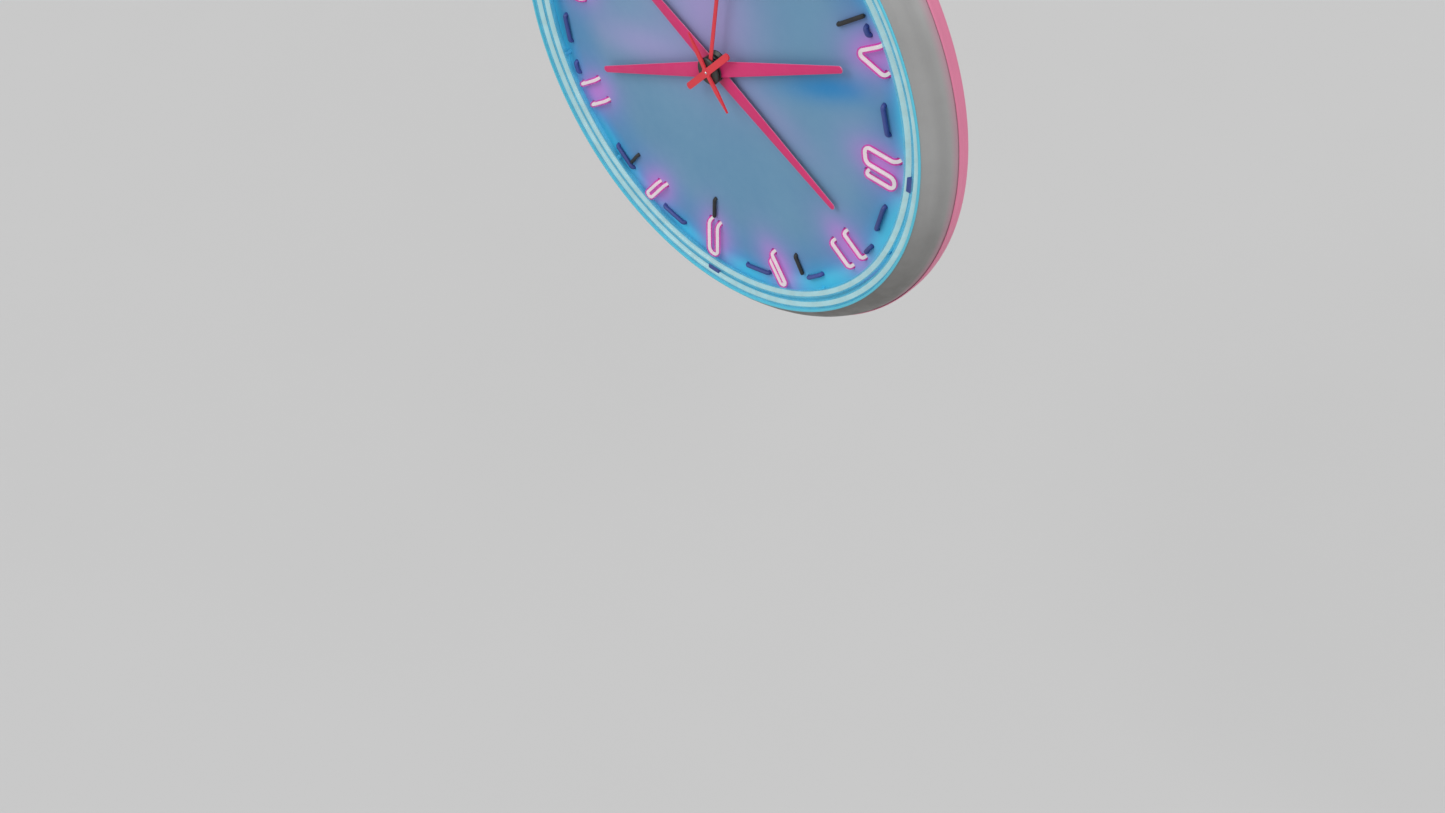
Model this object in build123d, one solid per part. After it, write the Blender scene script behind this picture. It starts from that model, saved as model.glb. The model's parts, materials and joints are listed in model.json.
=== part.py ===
from build123d import *
from math import acos, asin, atan2, cos, hypot, pi, sin, tan
import os

# Neon wall clock for a service station.  Millimetres, +Z up, the dial faces -Y and the wall is y = 0.
# Depths are counted backwards from the plane of the front lip, which is y = -TOTAL_DEPTH.

os.makedirs("parts", exist_ok=True)

# ---- whole clock
TOTAL_DEPTH = 72.0
LIP_RADIUS = 282.5
RIM_RADIUS = 305.0
SHEET = 1.5

# ---- dial and its rings
DIAL_RADIUS = 281.0
DIAL_FRONT, DIAL_BACK = 20.0, 22.0
SHELF_FRONT = 12.0
SHELF_INNER = 269.5
WALL_INNER = 279.9
CHASSIS_INNER, CHASSIS_WALL = 267.5, 288.5
PAN_RADIUS = 251.5
FLANGE_DEPTH = 38.5
SCREW_CIRCLE = 293.0
STUD_CIRCLE = 275.3

# ---- neon
RING_TUBE = 4.5
GLASS = 1.0
OUTER_TUBE_RADIUS, OUTER_TUBE_DEPTH = 275.25, 4.9
INNER_TUBE_RADIUS, INNER_TUBE_DEPTH = 263.5, 7.0
RING_LEG_OFFSET, RING_BEND = 6.5, 8.0
HOUR_TUBE, HOUR_TUBE_DEPTH = 3.5, 15.5
BAR_TUBE, BAR_DEPTH, BAR_BEND, BAR_BACK = 2.5, 17.0, 2.8, 25.0
SLEEVE, SLEEVE_DEPTH, SLEEVE_BEND = 2.2, 17.6, 2.6
HOUR_HOLE_CLEARANCE, HOLE_CLEARANCE = 0.8, 0.25
ELECTRODE_DEPTH = 34.0
HOUR_BOOT_WALL, RING_BOOT_WALL = 2.0, 1.0
LEAD, LEAD_DEPTH = 1.6, 30.0
CLIP_ANGLES = (2, 182, 272)
POST_ANGLES = (22.5, 67.5, 112.5, 157.5, 202.5, 232, 308, 337.5)

# ---- hands
ARM_LENGTH = 192.0
ARM_ROOT_WIDTH, ARM_TIP_WIDTH = 18.5, 7.5
HAND_EYE = 12.0
HAND_SHEET = 1.4
HOUR_HAND_DEPTH = 13.6
MINUTE_HAND_DEPTH = 10.0
SECOND_HAND_DEPTH = 6.6
SECOND_HAND_SHEET = 1.2
CROSS_DEPTH, CROSS_SHEET = 2.0, 1.8
MINUTE_HAND_ANGLE = 26.5
HOUR_HAND_ANGLE = 153.5
SECOND_HAND_ANGLE = 83.0
SECOND_HAND_LENGTH, SECOND_ROOT_WIDTH, SECOND_TIP_WIDTH, SECOND_EYE = 198.0, 5.0, 4.0, 7.0
BROAD_BAR_ANGLE, BROAD_BAR_REACH, BROAD_BAR_WIDTH, BROAD_BAR_SHIFT = 49.0, 41.0, 7.4, 3.0
SLENDER_BARS = ((125.0, 44.0), (311.0, 46.5))
CROSS_EYE = 5.5
COLLET_RADIUS = 14.5

# ---- movement
PLATE_RADIUS = 50.0
FRONT_PLATE, MIDDLE_PLATE, BACK_PLATE = 24.0, 35.0, 54.0
PILLAR_CIRCLE = 44.0
ARBOR = 1.4
CANNON_PIPE = 3.0
HOUR_PIPE = 4.2
RUNNING = 0.05
MOTION_MODULE = 0.8
CANNON_TEETH, IDLER_TEETH = 15, 45
IDLER_PINION_TEETH, HOUR_TEETH = 12, 48
SETTING_TEETH = 15
MOTION_SPACING = MOTION_MODULE * (CANNON_TEETH + IDLER_TEETH) / 2
SECOND_PINION_TEETH, THIRD_TEETH = 12, 90
THIRD_PINION_TEETH, CENTRE_TEETH = 12, 96
THIRD_SPACING = 26.0
THIRD_MODULE = 2 * THIRD_SPACING / (SECOND_PINION_TEETH + THIRD_TEETH)
CENTRE_MODULE = 2 * THIRD_SPACING / (THIRD_PINION_TEETH + CENTRE_TEETH)
ROTOR_TEETH, SECOND_TEETH = 10, 60
ROTOR_MODULE = 0.5
ROTOR_SPACING = ROTOR_MODULE * (ROTOR_TEETH + SECOND_TEETH) / 2
IDLER_AT = (-MOTION_SPACING, 0.0)
SETTING_AT = (IDLER_AT[0] + MOTION_SPACING * cos(2 * pi / 3), MOTION_SPACING * sin(2 * pi / 3))
THIRD_AT = (THIRD_SPACING, 0.0)
ROTOR_AT = (0.0, -ROTOR_SPACING)
KNOB_RADIUS = 14.0

# ---- mounting and mains
KEYHOLE_SPACING, KEYHOLE_HEIGHT, KEYHOLE_RADIUS = 300.0, 150.0, 5.5
GLAND_DEPTH, GLAND_THREAD, GLAND_BORE = 56.0, 8.0, 4.0
TRANSFORMER_Z = -150.0


def y_at(depth):
    """World y of a depth behind the front lip."""
    return depth - TOTAL_DEPTH


def polar(radius, degrees):
    """Front-view x and z of a point on the dial, 0 degrees at three o'clock."""
    return radius * cos(degrees * pi / 180), radius * sin(degrees * pi / 180)


def turned(*profile, at=(0.0, 0.0)):
    """Solid of revolution about an axis along Y, from (radius, depth) corners."""
    outline = Polyline(*[(r, y_at(d)) for r, d in profile], close=True)
    return Pos(at[0], 0, at[1]) * revolve(make_face(outline), Axis.Y, 360)


def rod(at, radius, front, back):
    """Round bar along Y between two depths."""
    return Pos(at[0], y_at((front + back) / 2), at[1]) * Rot(90, 0, 0) * Cylinder(radius, back - front)


def plate(drawing, front, back):
    """A front-view drawing made solid between two depths."""
    view = Plane(origin=(0, y_at(back), 0), x_dir=(1, 0, 0), z_dir=(0, -1, 0))
    return extrude(view * drawing, back - front)


def box(x, z, depth):
    """Block from its (low, high) ranges in x, z and depth."""
    size = (x[1] - x[0], depth[1] - depth[0], z[1] - z[0])
    return Pos((x[0] + x[1]) / 2, y_at((depth[0] + depth[1]) / 2), (z[0] + z[1]) / 2) * Box(*size)


def group(solids):
    """Separate solids kept as one piece."""
    return Compound(children=list(solids))


def save(piece, name):
    """One STEP file per piece."""
    piece.label = name
    export_step(piece, f"parts/{name}.step")


# ---------------------------------------------------------------- glass

def tube_path(points, bend):
    """Round-cornered path through (x, z, depth) points."""
    return FilletPolyline(*[(x, y_at(d), z) for x, z, d in points], radius=bend)


def glass_tube(points, bend, radius, wall=GLASS):
    """Hollow glass tube bent along (x, z, depth) points."""
    path = tube_path(points, bend)
    return sweep(Plane(origin=path @ 0, z_dir=path % 0) * (Circle(radius) - Circle(radius - wall)), path)


def cable(points, bend, radius):
    """Solid insulated lead along (x, z, depth) points."""
    path = tube_path(points, bend)
    return sweep(Plane(origin=path @ 0, z_dir=path % 0) * Circle(radius), path)


def ring_end(ring_radius, side, offset):
    """Front-view place on a ring tube's end tangent, offset sideways from twelve o'clock."""
    reach = RING_LEG_OFFSET + RING_BEND
    turn = side * asin(reach / ring_radius)
    back = reach - offset
    return (ring_radius * sin(turn) - side * back * cos(turn),
            ring_radius * cos(turn) + back * abs(sin(turn)))


def ring_tube(ring_radius, depth):
    """Hollow glass ring, open at twelve o'clock, where both ends turn back through the dial."""
    gap = asin((RING_LEG_OFFSET + RING_BEND) / ring_radius) * 180 / pi
    front = Plane(origin=(0, y_at(depth), 0), x_dir=(1, 0, 0), z_dir=(0, -1, 0))
    ring = front * CenterArc((0, 0), ring_radius, 90 + gap, 360 - 2 * gap)
    edges = [ring]
    for end, heading in ((ring @ 0, (ring % 0) * -1), (ring @ 1, ring % 1)):
        centre = end + Vector(0, RING_BEND, 0)
        middle = centre + (heading - Vector(0, 1, 0)) * (RING_BEND * sin(pi / 4))
        leg = centre + heading * RING_BEND
        edges.append(ThreePointArc(end, middle, leg))
        edges.append(Line(leg, Vector(leg.X, y_at(ELECTRODE_DEPTH), leg.Z)))
    path = Wire(edges)
    section = Plane(origin=path @ 0, z_dir=path % 0) * (Circle(RING_TUBE) - Circle(RING_TUBE - GLASS))
    return sweep(section, path)


RING_ENDS = [ring_end(r, side, RING_LEG_OFFSET)
             for r in (OUTER_TUBE_RADIUS, INNER_TUBE_RADIUS) for side in (-1, 1)]

# Shapes of the hour tubes, as (outward, anticlockwise) corners and a bend radius.
U_BEND = [(-23.8, -6.65), (23.8, -6.65), (23.8, 6.65), (-23.8, 6.65)], 6.6
HAIRPIN = [(-13, -3.9), (19, -3.9), (19, 3.9), (-21, 3.9)], 3.85
SERPENTINE = [(19.6, 16), (-20.5, 16), (-16.2, -2.7), (20.5, -2.7), (20.5, -16), (-16.5, -16)], 6.4
VEE = [(14.4, 7.2), (-18.6, 4.7), (7.5, -21)], 4.0
PAIR = [(-16.5, -13.3), (16.5, -13.3), (16.5, 13.3), (-16.5, 13.3)], 4.0
PAIR_JUMPER_DEPTH = 29.0
# Each hour tube: shape, polar angle and radius of its middle, lean of its long axis, mirrored or not.
HOUR_TUBES = {
    1: (HAIRPIN, 60, 236, 0, False), 2: (VEE, 29.5, 230, 0, False), 3: (SERPENTINE, -1, 222, 1, False),
    4: (PAIR, -34.3, 232, 0, False), 5: (HAIRPIN, -66.5, 242, 13, False), 6: (U_BEND, -91, 238, 1, False),
    7: (HAIRPIN, -114.5, 245.5, -12, False), 8: (PAIR, -146, 243, 2.5, False),
    9: (SERPENTINE, 180, 226, 0, True), 10: (VEE, 150, 232, 0, True), 11: (HAIRPIN, 120, 236, 0, True),
    12: (U_BEND, 90, 229, 0, False),
}


def hour_points(hour):
    """Path of an hour tube in (x, z, depth), its bend, and the places of its holes in the dial."""
    (corners, bend), angle, radius, lean, mirrored = HOUR_TUBES[hour]
    middle = Vector(*polar(radius, angle))
    outward = Vector(*polar(1, angle + lean))
    across = Vector(*polar(-1 if mirrored else 1, angle + lean + 90))
    flat = [middle + outward * u + across * v for u, v in corners]
    run = [(p.X, p.Y, HOUR_TUBE_DEPTH) for p in flat]
    if corners is PAIR[0]:
        run[2:2] = [(p.X, p.Y, PAIR_JUMPER_DEPTH) for p in flat[1:3]]
    else:
        flat = [flat[0], flat[-1]]
    ends = [(*run[i][:2], ELECTRODE_DEPTH) for i in (0, -1)]
    return [ends[0]] + run + [ends[1]], bend, [(p.X, p.Y) for p in flat]


HOUR_PATHS = {hour: hour_points(hour) for hour in HOUR_TUBES}
HOUR_ENDS = {hour: (p[0][0][:2], p[0][-1][:2]) for hour, p in HOUR_PATHS.items()}

# Dark bars between the hours: (polar angle and radius of the middle, half length, lean).
BARS = [
    (12.8, 228, 15, 5), (34.8, 233, 4, 0), (75, 245, 17, 0), (105, 245, 17, 0), (135, 248, 14, 0),
    (165, 246, 16.5, 0), (195.7, 250, 16.2, -5.6), (206.7, 257.3, 6.2, -7), (233, 256.3, 15.9, -1.4),
    (253.7, 254.8, 16.8, 4.4), (285.2, 250.6, 17.4, 0), (307.3, 247.4, 12.2, 5.5), (332.4, 246, 6, 0),
    (344, 238, 16.5, 5),
]
# Black sleeved feeds lying on the dial: (polar angle, inner radius, outer radius).
FEEDS = [(38.3, 199.5, 238), (127.5, 222, 243), (235.3, 231.7, 252.8), (268.8, 180.8, 208),
         (302.8, 221.6, 245.5)]


def bar_ends(angle, radius, half, lean):
    """Both ends of a dark bar, which lies across the radius at its middle."""
    x, z = polar(radius, angle)
    tx, tz = polar(half, angle + lean + 90)
    return (x - tx, z - tz), (x + tx, z + tz)


def half_hour_bars():
    """Blocked-out lengths of tube that mark the half hours."""
    solids = []
    for bar in BARS:
        start, end = bar_ends(*bar)
        corners = [(*start, BAR_BACK), (*start, BAR_DEPTH), (*end, BAR_DEPTH), (*end, BAR_BACK)]
        solids.append(glass_tube(corners, BAR_BEND, BAR_TUBE))
    return group(solids)


def feed_sleeves():
    """Sleeved tube feeds that come up through the dial and lie along a radius."""
    solids = []
    for angle, inner, outer in FEEDS:
        points = [(*polar(inner, angle), BAR_BACK), (*polar(inner, angle), SLEEVE_DEPTH),
                  (*polar(outer, angle), SLEEVE_DEPTH)]
        solids.append(cable(points, SLEEVE_BEND, SLEEVE))
    return group(solids)


def electrode_boots():
    """Rubber cap on every electrode, behind the dial."""
    solids = []
    places = [(end, HOUR_TUBE, HOUR_BOOT_WALL) for ends in HOUR_ENDS.values() for end in ends]
    places += [(end, RING_TUBE, RING_BOOT_WALL) for end in RING_ENDS]
    for at, bore, wall in places:
        outer = bore + wall
        front = DIAL_BACK if hypot(*at) + outer < CHASSIS_INNER else DIAL_BACK + SHEET
        solids.append(turned((bore, front), (outer, front), (outer, 35), (outer - 1, 36), (0, 36),
                             (0, ELECTRODE_DEPTH), (bore, ELECTRODE_DEPTH), at=at))
    return group(solids)


def ht_leads():
    """High-tension leads: tube to tube round the dial, and from the transformer to the first and last."""
    chain = [6, 7, 8, 9, 10, 11, 12, 1, 2, 3, 4, 5]
    reach = HOUR_TUBE + HOUR_BOOT_WALL
    solids = []
    for here, after in zip(chain, chain[1:]):
        (xa, za), (xb, zb) = min(
            ((a, b) for a in HOUR_ENDS[here] for b in HOUR_ENDS[after]),
            key=lambda pair: hypot(pair[0][0] - pair[1][0], pair[0][1] - pair[1][1]))
        length = hypot(xb - xa, zb - za)
        middle = Pos((xa + xb) / 2, y_at(LEAD_DEPTH), (za + zb) / 2)
        turn = Rot(0, -atan2(zb - za, xb - xa) * 180 / pi, 0) * Rot(0, 90, 0)
        solids.append(middle * turn * Cylinder(LEAD, length - 2 * reach))
    for side, hour in ((-1, 6), (1, 5)):
        x, z = min(HOUR_ENDS[hour], key=lambda end: side * -end[0])
        bushing = side * 76.0
        solids.append(cable([(bushing, TRANSFORMER_Z, 57), (side * 100, TRANSFORMER_Z, 57),
                             (side * 100, z, 57), (x, z, 57), (x, z, 36)], 4.0, LEAD))
    return group(solids)


# ---------------------------------------------------------------- case

def bezel_ring():
    """Blue channel round the dial: outer lip, shelf for the outer tube, studs to the rear."""
    t = 1.2
    ring = turned((WALL_INNER, 0), (LIP_RADIUS, 0), (LIP_RADIUS, t + 0.2), (WALL_INNER + t, t + 0.2),
                  (WALL_INNER + t, DIAL_FRONT), (WALL_INNER, DIAL_FRONT), (WALL_INNER, SHELF_FRONT + t),
                  (SHELF_INNER + t, SHELF_FRONT + t), (SHELF_INNER + t, DIAL_FRONT),
                  (SHELF_INNER, DIAL_FRONT), (SHELF_INNER, SHELF_FRONT), (WALL_INNER, SHELF_FRONT))
    for at in STUDS:
        ring += rod(at, 1.5, SHELF_FRONT + 0.5, 27)
    for at in RING_ENDS[:2]:
        ring -= rod(at, RING_TUBE + 0.2, SHELF_FRONT - 1, DIAL_FRONT + 1)
    return ring


STUDS = [polar(STUD_CIRCLE, 22.5 + 45 * i) for i in range(8)]
CASE_SCREWS = [polar(SCREW_CIRCLE, 22.5 + 45 * i) for i in range(8)]


def case_ring():
    """Spun side wall that swells from the lip to the rear rim."""
    t = SHEET
    outer = Spline((LIP_RADIUS, y_at(1.4)), (292.2, y_at(9.5)), (298.6, y_at(18)), (302.3, y_at(26.5)),
                   (303.4, y_at(31)))
    inner = Spline((LIP_RADIUS - 1.2, y_at(1.4)), (291.0, y_at(10.5)), (297.2, y_at(18.8)),
                   (300.8, y_at(27)), (301.9, y_at(31)))
    rear = Polyline((303.4, y_at(31)), (303.4, y_at(FLANGE_DEPTH + t)), (288, y_at(FLANGE_DEPTH + t)),
                    (288, y_at(FLANGE_DEPTH)), (301.9, y_at(FLANGE_DEPTH)), (301.9, y_at(31)))
    front = Line((LIP_RADIUS, y_at(1.4)), (LIP_RADIUS - 1.2, y_at(1.4)))
    shell = revolve(make_face([outer, inner, rear, front]), Axis.Y, 360)
    for at in CASE_SCREWS:
        shell -= rod(at, 2.1, FLANGE_DEPTH - 1, FLANGE_DEPTH + t + 1)
    return shell


def trim_ring():
    """Pink trim round the rear rim."""
    ring = turned((303.6, 30.2), (304.2, 29.8), (RIM_RADIUS, 31), (RIM_RADIUS, 42), (304, 43), (288, 43),
                  (288, 41.5), (303.6, 41.5))
    for at in CASE_SCREWS:
        ring -= rod(at, 2.1, 41, 44)
    return ring


def chassis_ring():
    """Inner steel ring that carries the dial and ties it to the rear flanges."""
    t = SHEET
    ring = turned((CHASSIS_INNER, DIAL_BACK), (CHASSIS_WALL, DIAL_BACK), (CHASSIS_WALL, FLANGE_DEPTH - t),
                  (298, FLANGE_DEPTH - t), (298, FLANGE_DEPTH), (CHASSIS_WALL - t, FLANGE_DEPTH),
                  (CHASSIS_WALL - t, DIAL_BACK + t), (CHASSIS_INNER, DIAL_BACK + t))
    for at in STUDS:
        ring -= rod(at, 1.7, DIAL_BACK - 1, DIAL_BACK + t + 1)
    for at in CASE_SCREWS:
        ring -= rod(at, 2.0, FLANGE_DEPTH - t - 1, FLANGE_DEPTH + 1)
    for at in RING_ENDS:
        ring -= rod(at, RING_TUBE + 0.3, DIAL_BACK - 1, DIAL_BACK + t + 1)
    return ring


def keyhole(x):
    """Hanging hole: round entry with a narrower slot above it."""
    slot = Pos(x, KEYHOLE_HEIGHT + 9) * Rectangle(5.5, 18) + Pos(x, KEYHOLE_HEIGHT + 18) * Circle(2.75)
    return plate(Pos(x, KEYHOLE_HEIGHT) * Circle(KEYHOLE_RADIUS) + slot, 69, 73)


def back_pan():
    """Shallow rear pan with its flange, hanging holes, setting hole and gland hole."""
    t, back = SHEET, TOTAL_DEPTH
    corner = 4.0
    pan = turned((PAN_RADIUS - t, 40), (302.5, 40), (302.5, 41.5), (PAN_RADIUS, 41.5),
                 (PAN_RADIUS, back - corner), (PAN_RADIUS - corner, back), (0, back), (0, back - t),
                 (PAN_RADIUS - corner - t / 2, back - t), (PAN_RADIUS - t, back - corner - t / 2))
    for side in (-1, 1):
        pan -= keyhole(side * KEYHOLE_SPACING / 2)
    pan -= rod(SETTING_AT, KNOB_RADIUS + 1.5, back - t - 1, back + 1)
    for at in CASE_SCREWS:
        pan -= rod(at, 2.1, 39, 43)
    return pan - Pos(0, y_at(GLAND_DEPTH), -PAN_RADIUS) * Cylinder(GLAND_THREAD + 0.1, 20)


def dial_panel():
    """Blue dial plate with a hole for every tube leg."""
    disc = Circle(DIAL_RADIUS) - Circle(6.1)
    disc -= [Pos(*at) * Circle(HOUR_TUBE + HOUR_HOLE_CLEARANCE) for p in HOUR_PATHS.values() for at in p[2]]
    disc -= [Pos(*at) * Circle(BAR_TUBE + HOLE_CLEARANCE) for bar in BARS for at in bar_ends(*bar)]
    disc -= [Pos(*polar(inner, angle)) * Circle(SLEEVE + HOLE_CLEARANCE) for angle, inner, _ in FEEDS]
    disc -= [Pos(*at) * Circle(RING_TUBE + HOLE_CLEARANCE) for at in RING_ENDS]
    disc -= [Pos(*at) * Circle(1.7) for at in STUDS]
    return plate(disc, DIAL_FRONT, DIAL_BACK)


def hexagon(at, across_flats, bore, front, back):
    """Hexagon nut."""
    drawing = RegularPolygon(across_flats / 2, 6, major_radius=False)
    if bore:
        drawing -= Circle(bore)
    return plate(Pos(*at) * drawing, front, back)


def bezel_nuts():
    """Nuts behind the chassis ring that hold bezel and dial."""
    depth = DIAL_BACK + SHEET
    return group([hexagon(at, 5.5, 1.5, depth, depth + 2.4) for at in STUDS])


def case_screws():
    """Pan-head screws through the four rear flanges."""
    solids = [turned((0, 34.5), (1.2, 34), (2.0, 35.5), (2.0, 43), (4.0, 43), (4.0, 44.4), (3.2, 45.4),
                     (0, 45.4), at=at) for at in CASE_SCREWS]
    return group(solids)


def torus(ring_radius, depth, radius):
    """Full ring of round section about the hand axis."""
    return revolve(Pos(ring_radius, y_at(depth)) * Circle(radius), Axis.Y, 360)


def ring_clips():
    """Black clips in the channel that grip both ring tubes."""
    solids = []
    for angle in CLIP_ANGLES:
        block = Pos(270, y_at(7.1), 0) * Box(8, 9.8, 16)
        solids.append(Rot(0, -angle, 0) * block)
    outer = torus(OUTER_TUBE_RADIUS, OUTER_TUBE_DEPTH, RING_TUBE)
    inner = torus(INNER_TUBE_RADIUS, INNER_TUBE_DEPTH, RING_TUBE)
    return group([s - outer - inner for s in solids])


def tube_posts():
    """Painted posts under the inner ring tube."""
    cradle = torus(INNER_TUBE_RADIUS, INNER_TUBE_DEPTH, RING_TUBE)
    return group([rod(polar(INNER_TUBE_RADIUS, angle), 2.5, INNER_TUBE_DEPTH + 2, DIAL_FRONT) - cradle
                  for angle in POST_ANGLES])


# ---------------------------------------------------------------- mains side

def transformer_case():
    """Potted neon transformer with mounting feet."""
    z = TRANSFORMER_Z
    case = box((-60, 60), (z - 32, z + 32), (44.5, 69))
    case = fillet(case.edges().filter_by(Axis.Y), 4)
    case = fillet(case.faces().sort_by(Axis.Y)[0].edges(), 1.5)
    feet = box((-60, 60), (z - 44, z + 44), (69, 70.5))
    for x in (-45, 45):
        for dz in (-38, 38):
            feet -= rod((x, z + dz), 2.2, 68, 71)
    return case + feet


def transformer_bushings():
    """Ribbed insulators on both ends of the transformer."""
    ribs = [(0, 0), (8, 0), (8, 3), (5.5, 4), (5.5, 6), (7.5, 7), (7.5, 9), (4.5, 10.5), (4.5, 16), (0, 16)]
    outline = make_face(Polyline(*ribs, close=True))
    bushing = revolve(outline, Axis.Y, 360)
    solids = []
    for side in (-1, 1):
        solids.append(Pos(side * 60, y_at(57), TRANSFORMER_Z) * Rot(0, 0, -side * 90) * bushing)
    return group(solids)


def terminal_block():
    """Three-way screw terminal for the mains leads."""
    x0, z0 = 62.0, -224.0
    block = box((x0, x0 + 30), (z0, z0 + 18), (58, 70.5))
    for i in range(3):
        at = (x0 + 5 + 10 * i, z0 + 9)
        block -= rod(at, 2.6, 57, 60)
        block += rod(at, 1.8, 59, 60.2)
    return block


def cable_gland():
    """Screwed cable gland in the bottom of the pan."""
    flange = Pos(0, 0, -5.2) * extrude(RegularPolygon(10, 6, major_radius=False), 5)
    body = Pos(0, 0, -6) * Cylinder(GLAND_THREAD, 24)
    dome = Pos(0, 0, -14) * Cone(6.2, 9.2, 12)
    gland = flange + body + dome - Pos(0, 0, -6) * Cylinder(GLAND_BORE, 60)
    return Pos(0, y_at(GLAND_DEPTH), -PAN_RADIUS) * gland


def gland_nut():
    """Locknut inside the pan."""
    nut = extrude(RegularPolygon(10, 6, major_radius=False) - Circle(GLAND_THREAD), 4)
    return Pos(0, y_at(GLAND_DEPTH), -PAN_RADIUS + 1.9) * nut


def mains_leads():
    """Leads from the terminal block to the transformer and to the clock coil."""
    to_transformer = [(67, -206, 64), (67, -198, 64), (40, -198, 64), (40, -182, 64)]
    to_coil = [(87, -206, 67), (87, -190, 67), (112, -190, 67), (112, -70, 67), (14.8, -70, 67)]
    return group([cable(p, 4.0, 1.5) for p in (to_transformer, to_coil)])


# ---------------------------------------------------------------- gearing

PRESSURE = 20 * pi / 180


def involute(angle):
    """Involute function."""
    return tan(angle) - angle


def gear(teeth, module, phase=0.0, addendum=0.85, dedendum=1.2, play=0.14):
    """Front-view outline of a spur gear; phase is the direction of one tooth, in radians."""
    pitch = module * teeth / 2
    base = pitch * cos(PRESSURE)
    tip, root = pitch + addendum * module, pitch - dedendum * module
    half = pi / (2 * teeth) - play * module / pitch / 2

    def half_angle(radius):
        return half + involute(PRESSURE) - involute(acos(min(1.0, base / radius)))

    start = max(base, root + 0.02)
    flank = [(root, half_angle(start))]
    flank += [(start + (tip - start) * i / 3, half_angle(start + (tip - start) * i / 3)) for i in range(4)]
    corners = []
    for tooth in range(teeth):
        middle = phase + 2 * pi * tooth / teeth
        corners += [(r, middle - a) for r, a in flank] + [(r, middle + a) for r, a in reversed(flank)]
    return make_face(Polyline(*[(r * cos(a), r * sin(a)) for r, a in corners], close=True))


def meshed(driver_teeth, driver_phase, teeth, direction):
    """Phase that puts a gear in mesh with a driver, seen from the driver in the given direction."""
    return direction + pi - ((driver_phase - direction) * driver_teeth + pi) / teeth


CANNON_PHASE = MINUTE_HAND_ANGLE * pi / 180
IDLER_PHASE = meshed(CANNON_TEETH, CANNON_PHASE, IDLER_TEETH, pi)
HOUR_PHASE = meshed(IDLER_PINION_TEETH, IDLER_PHASE, HOUR_TEETH, 0)
SETTING_PHASE = meshed(IDLER_TEETH, IDLER_PHASE, SETTING_TEETH, 2 * pi / 3)
SECOND_PHASE = SECOND_HAND_ANGLE * pi / 180
ROTOR_PHASE = meshed(SECOND_TEETH, SECOND_PHASE, ROTOR_TEETH, -pi / 2)
THIRD_PHASE = meshed(SECOND_PINION_TEETH, SECOND_PHASE, THIRD_TEETH, 0)
CENTRE_PHASE = meshed(THIRD_PINION_TEETH, THIRD_PHASE, CENTRE_TEETH, pi)


def wheel(teeth, module, phase, bore, spokes, rim=2.2, hub=5.0):
    """Gear wheel drawing with its crossings cut out."""
    drawing = gear(teeth, module, phase)
    inner, outer = hub, module * (teeth / 2 - 1.2) - rim
    if spokes:
        window = Circle(outer) - Circle(inner)
        arm = Pos(outer / 2, 0) * Rectangle(outer + 2, 2.6)
        arms = [Rot(0, 0, phase * 180 / pi + 360 * i / spokes) * arm for i in range(spokes)]
        drawing -= window - arms
    return drawing - Circle(bore) if bore else drawing


def cannon_pinion():
    """Minute pipe with its pinion, plate journal and clutch seat."""
    pipe = turned((ARBOR + RUNNING, 8.4), (CANNON_PIPE, 8.4), (CANNON_PIPE, 33), (4.0, 33), (4.0, 37.5),
                  (CANNON_PIPE, 37.5), (CANNON_PIPE, 42), (ARBOR + RUNNING, 42))
    teeth = gear(CANNON_TEETH, MOTION_MODULE, CANNON_PHASE) - Circle(CANNON_PIPE - 0.2)
    return pipe + plate(teeth, 29.5, 33)


def clutch_spring():
    """Dished spring and collar that press the centre wheel on the minute pipe."""
    return turned((CANNON_PIPE, 40.2), (4.6, 40.2), (8.0, 39.9), (8.0, 40.3), (5.2, 40.7), (5.2, 42),
                  (CANNON_PIPE, 42))


def centre_wheel():
    """Slow wheel that drives the minute pipe through the clutch."""
    drawing = wheel(CENTRE_TEETH, CENTRE_MODULE, CENTRE_PHASE, CANNON_PIPE + RUNNING, 5, hub=9.0)
    return plate(drawing, 38, 39.5)


def second_arbor():
    """Seconds arbor, with the seconds wheel and its pinion."""
    arbor = turned((0, 1.4), (0.9, 1.4), (ARBOR, 1.9), (ARBOR, 42.4), (2.3, 42.4), (2.3, 43), (2.3, 47),
                   (4, 47), (4, 49.5), (2, 49.5), (2, 53.6), (0.9, 53.6), (0.9, 55.3), (0, 55.3))
    pinion = gear(SECOND_PINION_TEETH, THIRD_MODULE, SECOND_PHASE)
    wheel_drawing = wheel(SECOND_TEETH, ROTOR_MODULE, SECOND_PHASE, 1.5, 4, rim=1.8, hub=4.5)
    return arbor + plate(pinion, 43, 46) + plate(wheel_drawing, 47, 48.2)


def third_wheel():
    """Reduction wheel between the seconds arbor and the centre wheel."""
    arbor = turned((0, 35.2), (0.8, 35.2), (0.8, 36.9), (1.6, 36.9), (1.6, 43), (3.2, 43), (3.2, 47),
                   (1.6, 47), (1.6, 53.6), (0.8, 53.6), (0.8, 55.3), (0, 55.3), at=THIRD_AT)
    pinion = Pos(*THIRD_AT) * gear(THIRD_PINION_TEETH, CENTRE_MODULE, THIRD_PHASE)
    disc = Pos(*THIRD_AT) * wheel(THIRD_TEETH, THIRD_MODULE, THIRD_PHASE, 1.5, 5, rim=2.0)
    return arbor + plate(pinion, 37.6, 40.2) + plate(disc, 44, 45.2)


def rotor_pinion():
    """Output pinion of the sealed motor."""
    shaft = turned((0, 46.2), (0.9, 46.2), (0.9, 58), (0, 58), at=ROTOR_AT)
    teeth = gear(ROTOR_TEETH, ROTOR_MODULE, ROTOR_PHASE)
    return shaft + plate(Pos(*ROTOR_AT) * teeth, 46.6, 48.9)


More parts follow.
